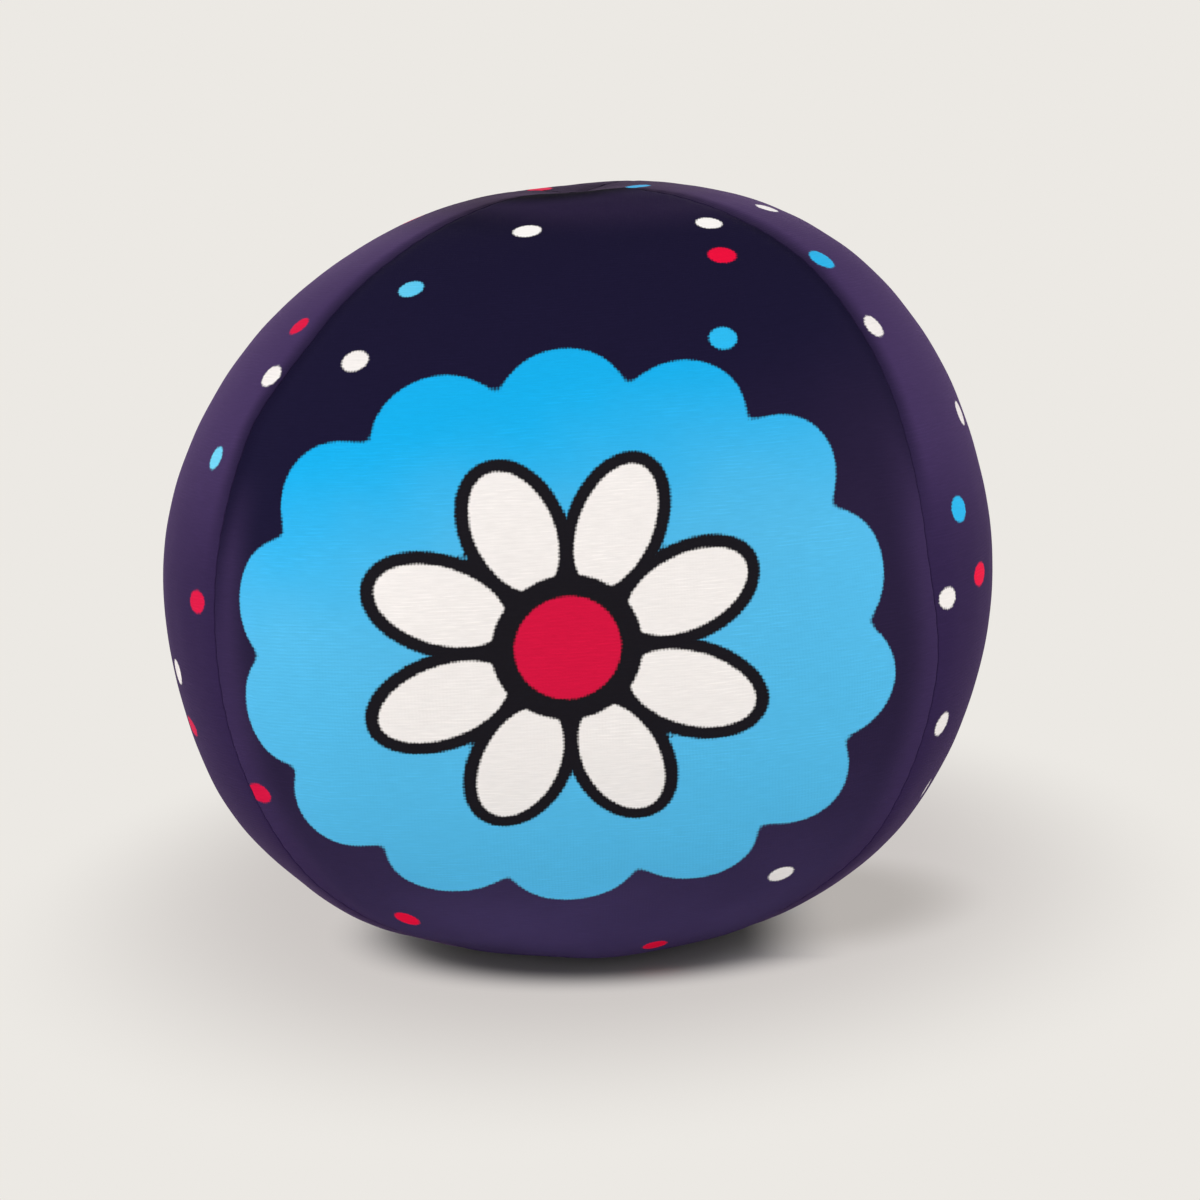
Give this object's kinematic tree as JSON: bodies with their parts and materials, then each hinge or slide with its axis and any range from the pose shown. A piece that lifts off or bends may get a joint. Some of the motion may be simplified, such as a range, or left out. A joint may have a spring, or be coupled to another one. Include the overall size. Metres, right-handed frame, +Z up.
{
  "type": "plush ball",
  "caption": "Soft stuffed ball of printed fabric gores sewn edge to edge round a fibre filling, settled slightly flat where it stands; a toy to squeeze, roll and throw.",
  "frame": {"origin": "centre of the flattened patch that the ball stands on", "axes": "+Z up through both poles, -Y towards the middle of the printed front panel, +X to its right"},
  "size_m": [0.12, 0.12, 0.111],
  "materials": {
    "printed_cloth": "short napped knit, printed: navy ground, large sky-blue medallion, white, black and red in it, and small dots",
    "dotted_cloth": "short napped knit, navy with small white, red and blue dots",
    "fibrefill": "loose white polyester fibre",
    "thread": "navy polyester sewing thread"
  },
  "bodies": {
    "root": {"front_panel": "printed_cloth", "right_panel": "dotted_cloth", "back_panel": "dotted_cloth", "left_panel": "dotted_cloth", "fibre_filling": "fibrefill", "front_left_thread": "thread", "back_right_thread": "thread", "long_seam_thread": "thread", "opening_thread": "thread"}
  },
  "joints": []
}
